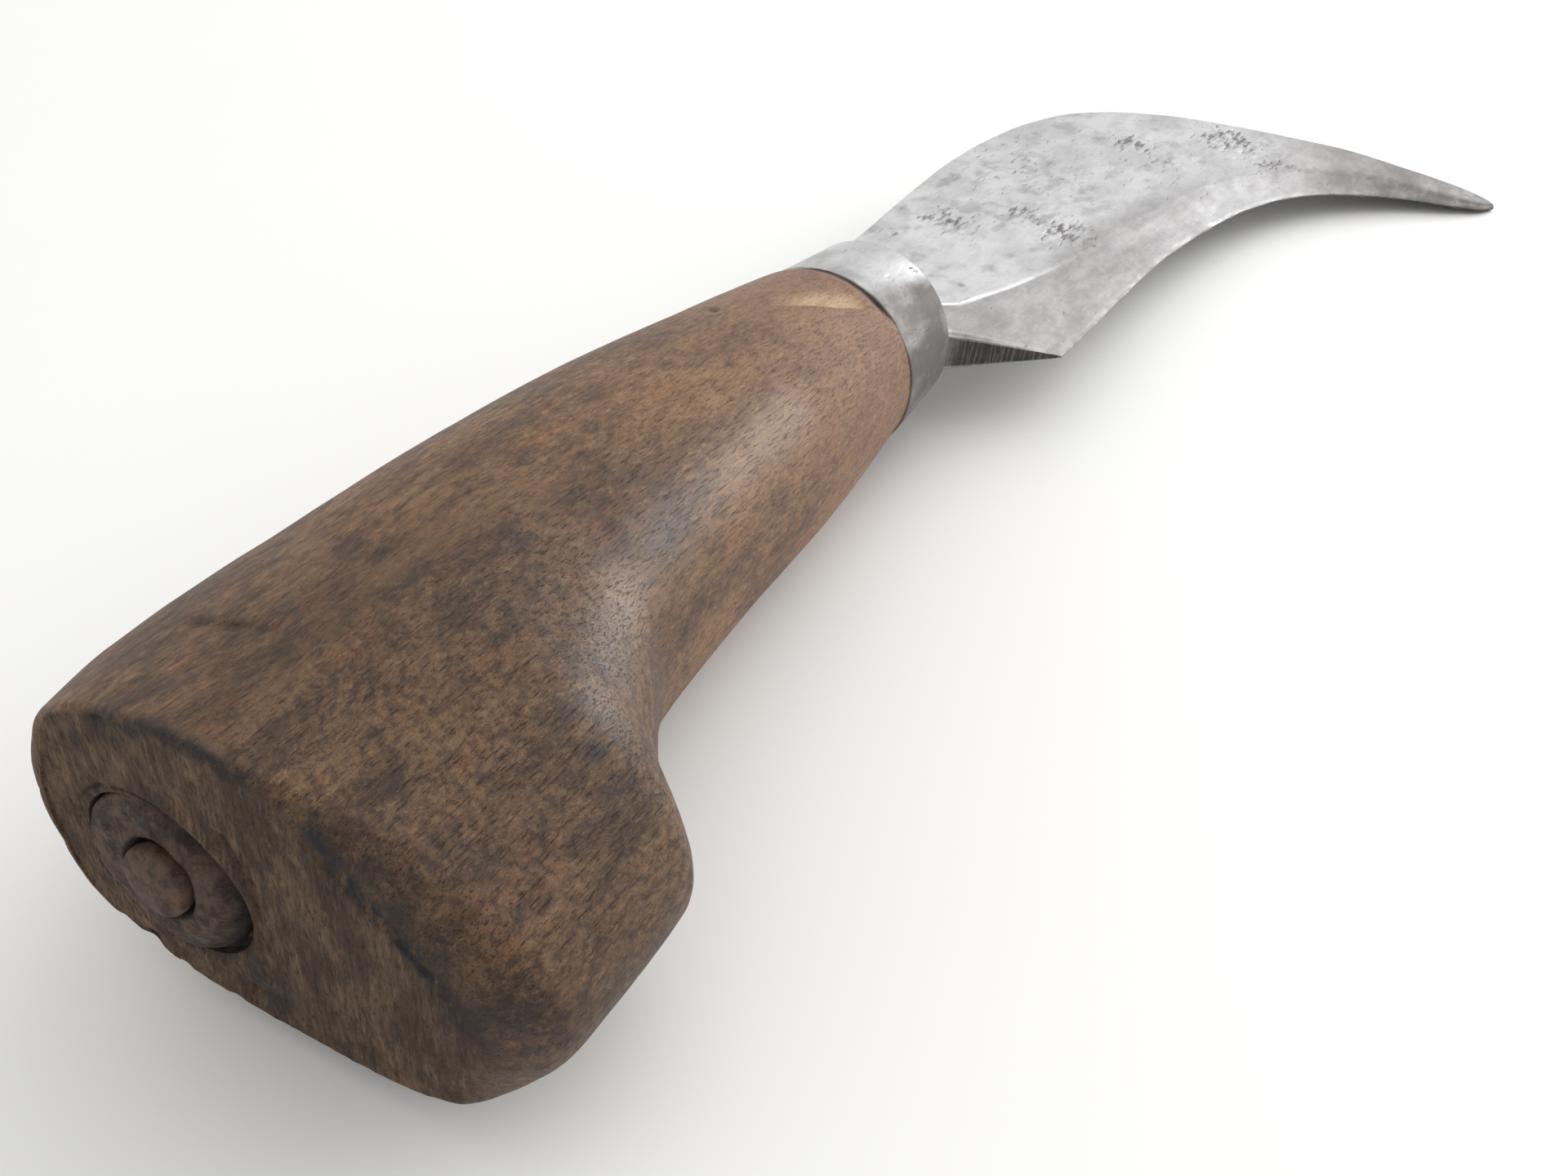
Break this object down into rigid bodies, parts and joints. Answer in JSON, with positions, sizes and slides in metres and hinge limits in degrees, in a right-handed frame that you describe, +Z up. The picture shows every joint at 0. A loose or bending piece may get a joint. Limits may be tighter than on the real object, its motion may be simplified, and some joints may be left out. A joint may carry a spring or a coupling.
{
  "type": "hand sickle",
  "caption": "Small hooked hand sickle: curved steel blade with a through tang, tapered ferrule and a boot-shaped wooden handle with a round iron rove at the butt.",
  "frame": {"origin": "on the ground under the middle of the sickle's footprint, with the sickle lying on its flat", "axes": "+X from the butt towards the blade, +Y towards the spine side, +Z up; the tang axis dips 3.27 degrees towards the blade and the toe side hangs 5.74 degrees below the spine side"},
  "size_m": [0.2644, 0.098, 0.0408],
  "materials": {
    "handle_wood": "dark hand-worn hardwood, waxed by use, dry end grain at the butt",
    "ferrule_steel": "worn grey sheet steel, brown tarnish on one side",
    "blade_steel": "old ground steel with dark pitting",
    "rove_iron": "rough brown rusted iron"
  },
  "bodies": {
    "root": {"handle": "handle_wood", "ferrule": "ferrule_steel", "blade": "blade_steel", "rove": "rove_iron"}
  },
  "joints": []
}
